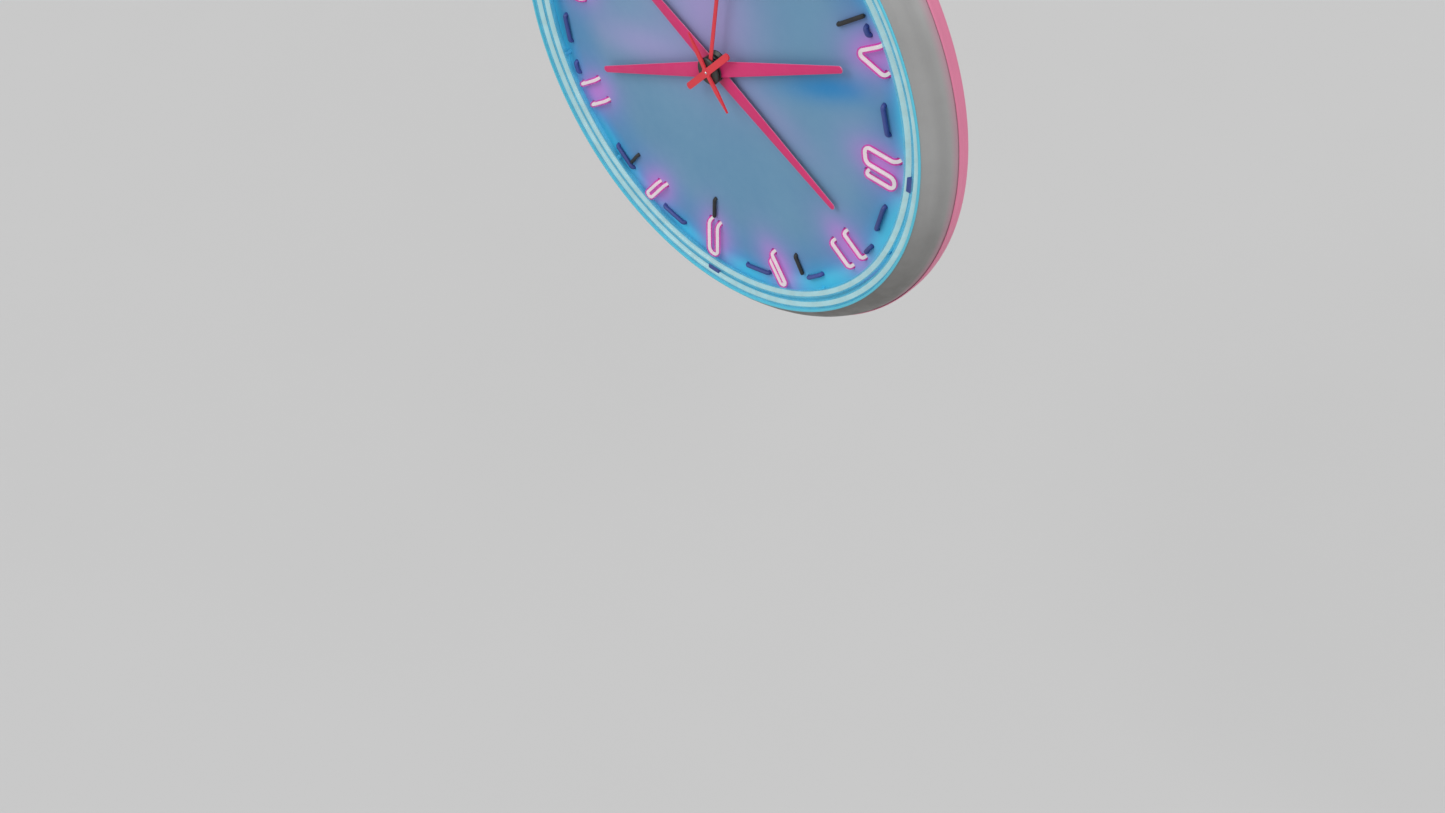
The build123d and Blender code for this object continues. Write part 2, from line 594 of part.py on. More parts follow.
def minute_wheel():
    """Idler of the motion work: large wheel and small pinion on one sleeve."""
    large = wheel(IDLER_TEETH, MOTION_MODULE, IDLER_PHASE, 0, 4, hub=6.0)
    small = gear(IDLER_PINION_TEETH, MOTION_MODULE, IDLER_PHASE)
    body = plate(Pos(*IDLER_AT) * large, 30, 31.5) + plate(Pos(*IDLER_AT) * small, 26.6, 30)
    body += rod(IDLER_AT, 3.6, 31.5, 33)
    return body - rod(IDLER_AT, 1.5 + RUNNING, 26, 34)


def hour_wheel():
    """Hour wheel on the hour pipe."""
    pipe = turned((CANNON_PIPE + RUNNING, 13), (HOUR_PIPE, 13), (HOUR_PIPE, 26.4), (7, 26.4), (7, 28.5),
                  (CANNON_PIPE + RUNNING, 28.5))
    drawing = wheel(HOUR_TEETH, MOTION_MODULE, HOUR_PHASE, HOUR_PIPE, 5, hub=6.5)
    return pipe + plate(drawing, 27, 28.5)


def setting_knob():
    """Setting pinion, stem and knurled knob reached through the back."""
    stem = turned((0, 24.2), (1.2, 24.2), (1.5, 24.8), (1.5, 60), (5, 60), (5, 62), (KNOB_RADIUS - 1.2, 62),
                  (KNOB_RADIUS - 0.8, 62.8), (KNOB_RADIUS - 0.8, 70.7), (KNOB_RADIUS - 1.8, 71.4),
                  (0, 71.4), at=SETTING_AT)
    teeth = Pos(*SETTING_AT) * gear(SETTING_TEETH, MOTION_MODULE, SETTING_PHASE)
    grips = []
    for i in range(24):
        x, z = polar(KNOB_RADIUS - 0.8, 15 * i)
        grips.append(rod((SETTING_AT[0] + x, SETTING_AT[1] + z), 0.8, 63.2, 70.4))
    return stem + plate(teeth, 29.4, 32.4) + grips


# ---------------------------------------------------------------- movement frame

PILLARS = [polar(PILLAR_CIRCLE, 45 + 90 * i) for i in range(4)]


def movement_plate(front, holes):
    """Round plate with (place, radius) holes and its pillar holes."""
    drawing = Circle(PLATE_RADIUS) - [Pos(*at) * Circle(r) for at, r in holes]
    drawing -= [Pos(*at) * Circle(2.0) for at in PILLARS]
    return plate(drawing, front, front + SHEET)


def movement_front_plate():
    """Front plate, against the dial bushing."""
    return movement_plate(FRONT_PLATE, [((0, 0), HOUR_PIPE + RUNNING), (SETTING_AT, 1.5 + RUNNING)])


def movement_middle_plate():
    """Middle plate with the idler stud."""
    holes = [((0, 0), 4 + RUNNING), (SETTING_AT, 1.5 + RUNNING), (THIRD_AT, 0.8 + RUNNING)]
    return movement_plate(MIDDLE_PLATE, holes) + rod(IDLER_AT, 1.5, 26, MIDDLE_PLATE + 0.5) \
        + rod(IDLER_AT, 4, 33.4, MIDDLE_PLATE)


def movement_back_plate():
    """Back plate with the seats of the field core."""
    holes = [((0, 0), 0.9 + RUNNING), (SETTING_AT, 1.5 + RUNNING), (THIRD_AT, 0.8 + RUNNING),
             (ROTOR_AT, 3.6)]
    body = movement_plate(BACK_PLATE, holes)
    for side in (-1, 1):
        body += rod((side * 20, -33), 4, BACK_PLATE + SHEET, 57)
    return body


def movement_pillars():
    """Turned pillars that space the three plates."""
    solids = []
    for at in PILLARS:
        solids.append(turned((0, 23.2), (1.6, 23.2), (2, 23.6), (2, 25.5), (3, 25.5), (3, 35), (2, 35),
                             (2, 36.5), (3, 36.5), (3, 54), (2, 54), (2, 55.5), (3.4, 55.5), (3.4, 57.4),
                             (0, 57.4), at=at))
    return group(solids)


def dial_bushing():
    """Threaded bushing that carries the movement on the dial."""
    return turned((HOUR_PIPE + RUNNING, 16.8), (5.7, 16.8), (6, 17.2), (6, 22), (9, 22), (9, 24),
                  (HOUR_PIPE + RUNNING, 24))


def bushing_nut():
    """Nut on the front of the dial."""
    return hexagon((0, 0), 17, 6, 17.6, DIAL_FRONT)


def centre_boss():
    """Black cover over the bushing nut."""
    return turned((17.5, 20), (17.5, 19), (15.2, 16.6), (14.6, 16.2), (6.4, 16.2), (6.4, 17.2), (13.6, 17.2),
                  (16.3, 20))


def rotor_can():
    """Sealed motor can with its nose bearing."""
    return turned((0, 68), (12, 68), (13, 67), (13, 57), (6, 57), (6, 55.5), (3.5, 55.5), (3.5, 49.6),
                  (0.9 + RUNNING, 49.6), (0.9 + RUNNING, 58.6), (0, 58.6), at=ROTOR_AT)


def field_core():
    """Laminated field core round the motor can."""
    outline = Pos(0, -38.5) * Rectangle(52, 75)
    outline -= Pos(*ROTOR_AT) * Circle(13)
    outline -= Pos(0, -52) * Rectangle(30, 28)
    outline -= Pos(0, -19.5) * Rectangle(3, 40)
    return plate(outline, 57, 64)


def field_coil():
    """Coil on the lower leg of the core."""
    coil = box((-14.8, 14.8), (-81.5, -60.5), (51.5, 69.5))
    coil = fillet(coil.edges().filter_by(Axis.X), 3)
    return coil - box((-15, 15), (-76, -66), (57, 64))


# ---------------------------------------------------------------- hands

def arm_outline(root, tip, length):
    """Both arms of a double-ended hand, tapered and round-tipped, lying along X."""
    end = length - tip / 2
    upper = [(-end, tip / 2), (0, root / 2), (end, tip / 2)]
    lower = [(x, -z) for x, z in reversed(upper)]
    drawing = make_face(Polyline(*upper, *lower, close=True))
    return drawing + [Pos(s * end, 0) * Circle(tip / 2) for s in (-1, 1)]


def double_hand(angle, bore, front):
    """Flat double-ended hand on a pipe."""
    drawing = Rot(0, 0, angle) * arm_outline(ARM_ROOT_WIDTH, ARM_TIP_WIDTH, ARM_LENGTH)
    return plate(drawing + Circle(HAND_EYE) - Circle(bore), front, front + HAND_SHEET)


def hour_hand():
    """Hour hand."""
    return double_hand(HOUR_HAND_ANGLE, HOUR_PIPE, HOUR_HAND_DEPTH)


def minute_hand():
    """Minute hand."""
    return double_hand(MINUTE_HAND_ANGLE, CANNON_PIPE, MINUTE_HAND_DEPTH)


def collet(bore, front, back):
    """Black disc in front of a hand."""
    edge = 0.3
    return turned((bore, front), (COLLET_RADIUS - edge, front), (COLLET_RADIUS, front + edge),
                  (COLLET_RADIUS, back), (bore, back))


def second_hand():
    """Thin hand with a round eye."""
    root, tip, length = SECOND_ROOT_WIDTH / 2, SECOND_TIP_WIDTH / 2, SECOND_HAND_LENGTH
    blade = make_face(Polyline((0, root), (length, tip), (length, -tip), (0, -root), close=True))
    drawing = Rot(0, 0, SECOND_HAND_ANGLE) * (blade + Circle(SECOND_EYE)) - Circle(ARBOR)
    return plate(drawing, SECOND_HAND_DEPTH, SECOND_HAND_DEPTH + SECOND_HAND_SHEET)


def second_collet():
    """Black hub cap between the cross and the second hand."""
    front = CROSS_DEPTH + CROSS_SHEET
    return turned((ARBOR, front), (4.5, front), (4.5, front + 0.5), (14, front + 0.5), (15, front + 1.3),
                  (15, SECOND_HAND_DEPTH), (ARBOR, SECOND_HAND_DEPTH))


def cross_cap():
    """Small cross on the end of the seconds arbor: one broad round-ended bar and two slender leaves."""
    half = BROAD_BAR_WIDTH / 2
    bar = Rectangle(2 * BROAD_BAR_REACH, BROAD_BAR_WIDTH)
    bar += [Pos(side * BROAD_BAR_REACH, 0) * Circle(half) for side in (-1, 1)]
    cross = Rot(0, 0, BROAD_BAR_ANGLE) * Pos(BROAD_BAR_SHIFT, 0) * bar
    for angle, reach in SLENDER_BARS:
        upper = [(0, 2.4), (reach * 0.5, 2.9), (reach, 0.6)]
        lower = [(x, -z) for x, z in reversed(upper)]
        cross += Rot(0, 0, angle) * make_face(Polyline(*upper, *lower, close=True))
    cross += Circle(CROSS_EYE)
    cross -= Circle(ARBOR)
    return plate(cross, CROSS_DEPTH, CROSS_DEPTH + CROSS_SHEET)


# ---------------------------------------------------------------- all pieces

PIECES = {
    "bezel_ring": bezel_ring, "case_ring": case_ring, "trim_ring": trim_ring,
    "chassis_ring": chassis_ring, "back_pan": back_pan, "dial_panel": dial_panel,
    "bezel_nuts": bezel_nuts, "case_screws": case_screws,
    "outer_ring_tube": lambda: ring_tube(OUTER_TUBE_RADIUS, OUTER_TUBE_DEPTH),
    "inner_ring_tube": lambda: ring_tube(INNER_TUBE_RADIUS, INNER_TUBE_DEPTH),
    "ring_clips": ring_clips, "tube_posts": tube_posts,
    "half_hour_bars": half_hour_bars, "feed_sleeves": feed_sleeves,
    "electrode_boots": electrode_boots, "ht_leads": ht_leads,
    "transformer_case": transformer_case, "transformer_bushings": transformer_bushings,
    "terminal_block": terminal_block, "cable_gland": cable_gland, "gland_nut": gland_nut,
    "mains_leads": mains_leads,
    "movement_front_plate": movement_front_plate, "movement_middle_plate": movement_middle_plate,
    "movement_back_plate": movement_back_plate, "movement_pillars": movement_pillars,
    "dial_bushing": dial_bushing, "bushing_nut": bushing_nut, "centre_boss": centre_boss,
    "rotor_can": rotor_can, "field_core": field_core, "field_coil": field_coil,
    "cannon_pinion": cannon_pinion, "clutch_spring": clutch_spring, "centre_wheel": centre_wheel,
    "second_arbor": second_arbor, "third_wheel": third_wheel, "rotor_pinion": rotor_pinion,
    "minute_wheel": minute_wheel, "hour_wheel": hour_wheel, "setting_knob": setting_knob,
    "hour_hand": hour_hand, "minute_hand": minute_hand,
    "hour_collet": lambda: collet(HOUR_PIPE, 12.4, HOUR_HAND_DEPTH),
    "minute_collet": lambda: collet(CANNON_PIPE, 8.8, MINUTE_HAND_DEPTH),
    "second_hand": second_hand, "second_collet": second_collet, "cross_cap": cross_cap,
}

for name, make in PIECES.items():
    save(make(), name)

for hour, (points, bend, _) in HOUR_PATHS.items():
    save(glass_tube(points, bend, HOUR_TUBE), f"hour_tube_{hour}")
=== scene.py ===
import json
import math

import bmesh
import bpy
import numpy as np
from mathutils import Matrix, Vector


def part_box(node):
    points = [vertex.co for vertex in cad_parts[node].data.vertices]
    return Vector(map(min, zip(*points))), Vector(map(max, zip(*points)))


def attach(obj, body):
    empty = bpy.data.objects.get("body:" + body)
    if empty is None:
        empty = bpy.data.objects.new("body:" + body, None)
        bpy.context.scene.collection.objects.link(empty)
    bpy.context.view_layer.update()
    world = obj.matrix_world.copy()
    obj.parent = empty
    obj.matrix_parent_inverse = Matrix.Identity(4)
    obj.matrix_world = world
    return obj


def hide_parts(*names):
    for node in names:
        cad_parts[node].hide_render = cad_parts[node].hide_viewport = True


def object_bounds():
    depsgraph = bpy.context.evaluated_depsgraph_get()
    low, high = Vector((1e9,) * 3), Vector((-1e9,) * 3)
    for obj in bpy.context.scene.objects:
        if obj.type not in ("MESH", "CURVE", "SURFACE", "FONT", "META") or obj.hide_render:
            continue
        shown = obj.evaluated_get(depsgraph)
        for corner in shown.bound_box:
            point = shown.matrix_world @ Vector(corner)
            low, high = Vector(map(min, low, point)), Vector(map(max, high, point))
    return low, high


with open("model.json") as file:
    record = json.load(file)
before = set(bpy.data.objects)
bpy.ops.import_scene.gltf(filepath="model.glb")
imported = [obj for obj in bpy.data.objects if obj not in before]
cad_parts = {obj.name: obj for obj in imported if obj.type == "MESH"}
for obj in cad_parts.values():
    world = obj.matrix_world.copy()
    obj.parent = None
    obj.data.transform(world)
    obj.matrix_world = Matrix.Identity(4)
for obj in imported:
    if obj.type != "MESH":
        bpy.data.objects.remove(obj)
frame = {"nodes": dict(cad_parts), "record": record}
CAD_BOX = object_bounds()

# Neon wall clock.  Metres, +Z up, the dial faces -Y, the wall is y = 0.
MM = 0.001
PI = math.pi

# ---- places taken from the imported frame
FRONT = CAD_BOX[0][1]
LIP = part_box("bezel_ring")[1].x
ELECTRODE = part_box("hour_tube_6")[1].y
HOUR_TUBE = 3.5 * MM
TUBE_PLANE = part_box("hour_tube_6")[0].y + HOUR_TUBE
RING_TUBE = 4.5 * MM
BAR_TUBE, SLEEVE = 2.5 * MM, 2.2 * MM
BAR_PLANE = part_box("half_hour_bars")[0].y + BAR_TUBE
SLEEVE_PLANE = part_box("feed_sleeves")[0].y + SLEEVE

# Shapes of the hour tubes in millimetres, as (outward, anticlockwise) corners and a bend radius.
U_BEND = [(-23.8, -6.65), (23.8, -6.65), (23.8, 6.65), (-23.8, 6.65)], 6.6
HAIRPIN = [(-13, -3.9), (19, -3.9), (19, 3.9), (-21, 3.9)], 3.85
SERPENTINE = [(19.6, 16), (-20.5, 16), (-16.2, -2.7), (20.5, -2.7), (20.5, -16), (-16.5, -16)], 6.4
VEE = [(14.4, 7.2), (-18.6, 4.7), (7.5, -21)], 4.0
PAIR = [(-16.5, -13.3), (16.5, -13.3), (16.5, 13.3), (-16.5, 13.3)], 4.0
PAIR_JUMPER = FRONT + 29 * MM
# Each hour tube: shape, polar angle and radius of its middle, lean of its long axis, mirrored or not.
HOUR_TUBES = {
    1: (HAIRPIN, 60, 236, 0, False), 2: (VEE, 29.5, 230, 0, False), 3: (SERPENTINE, -1, 222, 1, False),
    4: (PAIR, -34.3, 232, 0, False), 5: (HAIRPIN, -66.5, 242, 13, False), 6: (U_BEND, -91, 238, 1, False),
    7: (HAIRPIN, -114.5, 245.5, -12, False), 8: (PAIR, -146, 243, 2.5, False),
    9: (SERPENTINE, 180, 226, 0, True), 10: (VEE, 150, 232, 0, True), 11: (HAIRPIN, 120, 236, 0, True),
    12: (U_BEND, 90, 229, 0, False),
}
# Dark bars: polar angle and radius of the middle, half length, lean.  Feeds: angle, inner and outer radius.
BARS = [
    (12.8, 228, 15, 5), (34.8, 233, 4, 0), (75, 245, 17, 0), (105, 245, 17, 0), (135, 248, 14, 0),
    (165, 246, 16.5, 0), (195.7, 250, 16.2, -5.6), (206.7, 257.3, 6.2, -7), (233, 256.3, 15.9, -1.4),
    (253.7, 254.8, 16.8, 4.4), (285.2, 250.6, 17.4, 0), (307.3, 247.4, 12.2, 5.5), (332.4, 246, 6, 0),
    (344, 238, 16.5, 5),
]
FEEDS = [(38.3, 199.5, 238), (127.5, 222, 243), (235.3, 231.7, 252.8), (268.8, 180.8, 208),
         (302.8, 221.6, 245.5)]


# ================================================================ mesh helpers

def finish_mesh(name, verts, faces, sharp=35):
    """Makes an object from points and faces, smooth but for edges sharper than an angle."""
    mesh = bpy.data.meshes.new(name)
    mesh.from_pydata([tuple(v) for v in verts], [], faces)
    obj = bpy.data.objects.new(name, mesh)
    bpy.context.scene.collection.objects.link(obj)
    bm = bmesh.new()
    bm.from_mesh(mesh)
    bmesh.ops.remove_doubles(bm, verts=bm.verts, dist=1e-6)
    bmesh.ops.recalc_face_normals(bm, faces=bm.faces)
    for face in bm.faces:
        face.smooth = True
    for edge in bm.edges:
        edge.smooth = len(edge.link_faces) == 2 and edge.calc_face_angle(0) < math.radians(sharp)
    bm.to_mesh(mesh)
    bm.free()
    return obj


def round_corner(before, corner, after, radius, steps):
    """Points of the arc that rounds one corner of a path."""
    a, b = (before - corner), (after - corner)
    half = a.angle(b) / 2
    if half > PI / 2 - 1e-3 or radius <= 0:
        return [corner]
    reach = min(radius / math.tan(half), a.length * 0.499, b.length * 0.499)
    radius = reach * math.tan(half)
    a, b = a.normalized(), b.normalized()
    centre = corner + (a + b).normalized() * (radius / math.sin(half))
    start, end = corner + a * reach - centre, corner + b * reach - centre
    turn = start.angle(end)
    return [centre + (start * math.sin((1 - t) * turn) + end * math.sin(t * turn)) / math.sin(turn)
            for t in (i / steps for i in range(steps + 1))]


def rounded(points, radius, steps=6, closed=False):
    """Path with its corners rounded."""
    points = [Vector(p) for p in points]
    n = len(points)
    out = []
    for i, p in enumerate(points):
        if not closed and i in (0, n - 1):
            out.append(p)
        else:
            out += round_corner(points[i - 1], p, points[(i + 1) % n], radius, steps)
    return out


def lathe(name, profile, radius=0.3 * MM, segments=288, steps=3):
    """Turned piece about the hand axis from a closed (radius, y) profile with small rounded corners."""
    line = rounded([(r, y, 0) for r, y in profile], radius, steps, closed=True)
    verts, faces = [], []
    n = len(line)
    for i in range(segments):
        a = 2 * PI * i / segments
        verts += [(p.x * math.cos(a), p.y, p.x * math.sin(a)) for p in line]
    for i in range(segments):
        for j in range(n):
            k, m = (i + 1) % segments, (j + 1) % n
            faces.append((i * n + j, i * n + m, k * n + m, k * n + j))
    return finish_mesh(name, verts, faces)


def sweep(name, path, radius, sides=20, cap_steps=5):
    """Round tube along points, with domed ends."""
    path = [Vector(p) for p in path]
    tangents = []
    for i in range(len(path)):
        a, b = path[max(i - 1, 0)], path[min(i + 1, len(path) - 1)]
        tangents.append((b - a).normalized())
    side = tangents[0].orthogonal().normalized()
    rings = []
    for p, t in zip(path, tangents):
        side = (side - t * side.dot(t)).normalized()
        rings.append((p, t, side, radius))
    dome_start = [(rings[0][0] - rings[0][1] * radius * math.sin(a), *rings[0][1:3], radius * math.cos(a))
                  for a in (PI / 2 * k / cap_steps for k in range(cap_steps - 1, 0, -1))]
    dome_end = [(rings[-1][0] + rings[-1][1] * radius * math.sin(a), *rings[-1][1:3], radius * math.cos(a))
                for a in (PI / 2 * k / cap_steps for k in range(1, cap_steps))]
    rings = dome_start + rings + dome_end
    verts, faces = [], []
    for p, t, s, r in rings:
        up = t.cross(s)
        verts += [p + s * (r * math.cos(2 * PI * i / sides)) + up * (r * math.sin(2 * PI * i / sides))
                  for i in range(sides)]
    for k in range(len(rings) - 1):
        for i in range(sides):
            j = (i + 1) % sides
            faces.append((k * sides + i, k * sides + j, (k + 1) * sides + j, (k + 1) * sides + i))
    first, last = len(verts), len(verts) + 1
    verts += [path[0] - tangents[0] * radius, path[-1] + tangents[-1] * radius]
    top = (len(rings) - 1) * sides
    for i in range(sides):
        j = (i + 1) % sides
        faces += [(j, i, first), (top + i, top + j, last)]
    return finish_mesh(name, verts, faces, sharp=60)


def join(name, objects):
    """Several meshes as one piece."""
    bpy.ops.object.select_all(action="DESELECT")
    for obj in objects:
        obj.select_set(True)
    bpy.context.view_layer.objects.active = objects[0]
    bpy.ops.object.join()
    objects[0].name = name
    return objects[0]


def blade(name, half_width, start, end, front, thickness, angle,
          crown=0.35 * MM, bevel=0.3 * MM, steps=72):
    """Flat hand lofted along its length: half_width(x) is its shape, and the front is slightly crowned."""
    verts, faces = [], []
    xs = [start + (end - start) * (0.5 - 0.5 * math.cos(PI * i / steps)) for i in range(steps + 1)]
    ca, sa = math.cos(angle), math.sin(angle)
    back = front + thickness
    for x in xs:
        w = max(half_width(x), 0.02 * MM)
        b = min(bevel, w * 0.5)
        section = [(-w, back - b), (-w, front + crown + b), (-w + b, front + crown),
                   (-w * 0.4, front + crown * 0.2), (0, front), (w * 0.4, front + crown * 0.2),
                   (w - b, front + crown), (w, front + crown + b), (w, back - b), (w - b, back),
                   (-w + b, back)]
        verts += [(x * ca - v * sa, y, x * sa + v * ca) for v, y in section]
    n = 11
    for k in range(len(xs) - 1):
        for i in range(n):
            j = (i + 1) % n
            faces.append((k * n + i, k * n + j, (k + 1) * n + j, (k + 1) * n + i))
    faces.append(tuple(range(n - 1, -1, -1)))
    faces.append(tuple((len(xs) - 1) * n + i for i in range(n)))
    return finish_mesh(name, verts, faces, sharp=32)


def polar(radius, degrees):
    """Front-view x and z."""
    return radius * math.cos(math.radians(degrees)), radius * math.sin(math.radians(degrees))


# ================================================================ material helpers

class Shader:
    """One node material, built up step by step."""

    def __init__(self, name):
        self.material = bpy.data.materials.new(name)
        self.material.use_nodes = True
        self.nodes = self.material.node_tree.nodes
        self.links = self.material.node_tree.links
        self.nodes.clear()
        self.bsdf = self.nodes.new("ShaderNodeBsdfPrincipled")
        self.out = self.nodes.new("ShaderNodeOutputMaterial")
        self.links.new(self.bsdf.outputs[0], self.out.inputs["Surface"])
        self.place = self.nodes.new("ShaderNodeTexCoord").outputs["Object"]

    def set(self, **values):
        """Plain numbers on the shader's own sockets; underscores stand for spaces."""
        for key, value in values.items():
            self.bsdf.inputs[key.replace("_", " ")].default_value = value
        return self

    def link(self, output, socket):
        self.links.new(output, self.bsdf.inputs[socket])

    def feed(self, socket, value):
        """Links an output, or sets a number."""
        if isinstance(value, (int, float)):
            socket.default_value = value
        elif isinstance(value, (tuple, list)):
            socket.default_value = value
        else:
            self.links.new(value, socket)

    def math(self, operation, a, b=0.0, c=None, clamp=False):
        node = self.nodes.new("ShaderNodeMath")
        node.operation = operation
        node.use_clamp = clamp
        self.feed(node.inputs[0], a)
        self.feed(node.inputs[1], b)
        if c is not None:
            self.feed(node.inputs[2], c)
        return node.outputs[0]

    def split(self, vector=None):
        node = self.nodes.new("ShaderNodeSeparateXYZ")
        self.links.new(vector or self.place, node.inputs[0])
        return node.outputs

    def scaled(self, scale):
        node = self.nodes.new("ShaderNodeMapping")
        self.links.new(self.place, node.inputs["Vector"])
        node.inputs["Scale"].default_value = scale
        return node.outputs[0]

    def noise(self, scale, detail=4.0, roughness=0.55, vector=None):
        node = self.nodes.new("ShaderNodeTexNoise")
        node.inputs["Scale"].default_value = scale
        node.inputs["Detail"].default_value = detail
        node.inputs["Roughness"].default_value = roughness
        self.links.new(vector or self.place, node.inputs["Vector"])
        return node.outputs["Fac"]

    def spread(self, value, low, high, to_low=0.0, to_high=1.0, smooth=True):
        """Maps a range to another range."""
        node = self.nodes.new("ShaderNodeMapRange")
        node.interpolation_type = "SMOOTHSTEP" if smooth else "LINEAR"
        sockets = ("From Min", "From Max", "To Min", "To Max")
        for socket, number in zip(sockets, (low, high, to_low, to_high)):
            node.inputs[socket].default_value = number
        self.links.new(value, node.inputs["Value"])
        return node.outputs[0]

    def mix(self, factor, a, b, blend="MIX"):
        node = self.nodes.new("ShaderNodeMix")
        node.data_type = "RGBA"
        node.blend_type = blend
        node.clamp_result = False
        self.feed(node.inputs["Factor"], factor)
        self.feed(node.inputs["A"], a if not isinstance(a, tuple) else (*a[:3], 1.0))
        self.feed(node.inputs["B"], b if not isinstance(b, tuple) else (*b[:3], 1.0))
        return node.outputs["Result"]

    def bump(self, height, strength, distance=0.2 * MM):
        node = self.nodes.new("ShaderNodeBump")
        node.inputs["Strength"].default_value = strength
        node.inputs["Distance"].default_value = distance
        self.links.new(height, node.inputs["Height"])
        self.link(node.outputs[0], "Normal")


def tint(colour, factor):
    """Colour made lighter or darker."""
    return tuple(min(1.0, c * factor) for c in colour)


def srgb(r, g, b):
    """Linear colour from 8-bit screen values."""
    return tuple((c / 255 / 12.92) if c <= 10 else ((c / 255 + 0.055) / 1.055) ** 2.4 for c in (r, g, b))


def painted(name, colour, roughness=0.42, vary=0.07, peel=0.10, coat=0.15):
    """Sprayed paint on metal: faint mottling, orange peel and fine dust."""
    s = Shader(name)
    blotch = s.spread(s.noise(9.0, 5.0), 0.35, 0.68)
    base = s.mix(blotch, tint(colour, 1 - vary), tint(colour, 1 + vary))
    dust = s.spread(s.noise(420.0, 3.0, 0.7), 0.60, 0.78, 0.0, 0.10)
    s.link(s.mix(dust, base, tint(colour, 1.6)), "Base Color")
    s.link(s.spread(s.noise(60.0, 4.0), 0.3, 0.7, roughness - 0.07, roughness + 0.09), "Roughness")
    s.bump(s.noise(900.0, 2.0, 0.5), peel, 0.05 * MM)
    s.set(Coat_Weight=coat, Coat_Roughness=0.25)
    return s


def metal(name, colour, roughness=0.32, grain=(40.0, 900.0, 900.0), vary=0.10):
    """Brushed or rolled metal with a directional grain and light tarnish."""
    s = Shader(name)
    tarnish = s.spread(s.noise(35.0, 5.0), 0.35, 0.7)
    base = s.mix(tarnish, tint(colour, 1 + vary), tint(colour, 1 - 2 * vary))
    s.link(base, "Base Color")
    lines = s.noise(1.0, 3.0, 0.6, s.scaled(grain))
    s.link(s.spread(lines, 0.3, 0.7, roughness - 0.08, roughness + 0.12), "Roughness")
    s.bump(lines, 0.12, 0.03 * MM)
    s.set(Metallic=1.0)
    return s


def moulded(name, colour, roughness=0.5, vary=0.10, grain=700.0, bump=0.18):
    """Rubber, plastic or tape with a fine grain and handling marks."""
    s = Shader(name)
    base = s.mix(s.spread(s.noise(30.0, 4.0), 0.3, 0.7), tint(colour, 1 - vary), tint(colour, 1 + vary))
    s.link(base, "Base Color")
    s.link(s.spread(s.noise(110.0, 4.0), 0.3, 0.7, roughness - 0.08, roughness + 0.1), "Roughness")
    s.bump(s.noise(grain, 3.0, 0.6), bump, 0.05 * MM)
    return s


# ================================================================ materials

def dial_paint():
    """Blue dial paint with painted light: a painted cyan glow of the ring tubes at its edge, a painted
    violet glow round each hour tube, above the hub and lower left, a painted lighter wash to the upper
    left, and a painted shadow under the right arm."""
    s = Shader("dial_blue_paint")
    x, y, z = s.split()
    radius = s.math("SQRT", s.math("ADD", s.math("MULTIPLY", x, x), s.math("MULTIPLY", z, z)))

    def patch(angle, radius, lean, long, wide):
        """Soft round-edged patch, 1 at its middle."""
        node = s.nodes.new("ShaderNodeMapping")
        node.vector_type = "TEXTURE"
        s.links.new(s.place, node.inputs["Vector"])
        at = polar(radius * MM, angle)
        node.inputs["Location"].default_value = (at[0], 0, at[1])
        node.inputs["Rotation"].default_value = (0, -math.radians(angle + lean), 0)
        node.inputs["Scale"].default_value = (long * MM, 10, wide * MM)
        length = s.nodes.new("ShaderNodeVectorMath")
        length.operation = "LENGTH"
        s.links.new(node.outputs[0], length.inputs[0])
        square = s.math("MULTIPLY", length.outputs["Value"], length.outputs["Value"])
        return s.math("EXPONENT", s.math("MULTIPLY", square, -1.0))

    def painted_tube_glow(long, wide):
        """Painted glow: soft patches under all the hour tubes."""
        total = None
        for _, angle, middle, lean, _ in HOUR_TUBES.values():
            spot = patch(angle, middle, lean, long, wide)
            total = spot if total is None else s.math("MAXIMUM", total, spot)
        return total

    cloud = s.spread(s.noise(7.0, 3.0), 0.3, 0.7)
    base = s.mix(cloud, DIAL_MID, DIAL_MID_2)
    reach = s.math("ADD", radius, s.math("MULTIPLY", x, 0.04))
    # Painted light and shade tones: lighter wash, violet glow, and the shadow under the right arm.
    for spot, share, colour in DIAL_PAINTED_LIGHT_AND_SHADE:
        base = s.mix(s.math("MULTIPLY", patch(*spot), share), base, colour)
    # Painted cyan glow of the ring tubes, growing towards the edge.
    base = s.mix(s.spread(radius, 0.185, 0.232), base, DIAL_OUTER_PAINTED_GLOW)
    base = s.mix(s.spread(reach, 0.228, 0.254), base, DIAL_RING_PAINTED_GLOW)
    base = s.mix(s.spread(reach, 0.243, 0.262), base, DIAL_EDGE_PAINTED_GLOW)
    # Painted violet and pink glow round each hour tube.
    base = s.mix(s.math("MULTIPLY", painted_tube_glow(44, 34), 0.65), base, PAINTED_TUBE_GLOW_OUT)
    base = s.mix(s.math("MULTIPLY", painted_tube_glow(30, 18), 0.70), base, PAINTED_TUBE_GLOW_IN)
    dust = s.spread(s.noise(300.0, 4.0, 0.7), 0.6, 0.8, 0.0, 0.06)
    s.link(s.mix(dust, base, (0.6, 0.7, 0.8)), "Base Color")
    s.link(s.spread(s.noise(80.0, 4.0), 0.3, 0.7, 0.48, 0.62), "Roughness")
    s.bump(s.noise(700.0, 2.0), 0.08, 0.05 * MM)
    s.set(Specular_IOR_Level=0.3)
    return s.material


# Dial paint first; the colours after it are painted glow, light and shadow.
DIAL_MID = srgb(100, 147, 181)
DIAL_MID_2 = srgb(108, 153, 185)
DIAL_LEFT_PAINTED_LIGHT = srgb(136, 164, 200)
DIAL_PAINTED_VIOLET_GLOW = srgb(170, 150, 208)
DIAL_ARM_PAINTED_SHADOW = srgb(22, 132, 196)
DIAL_OUTER_PAINTED_GLOW = srgb(90, 144, 188)
DIAL_RING_PAINTED_GLOW = srgb(66, 156, 208)
DIAL_EDGE_PAINTED_GLOW = srgb(78, 202, 238)
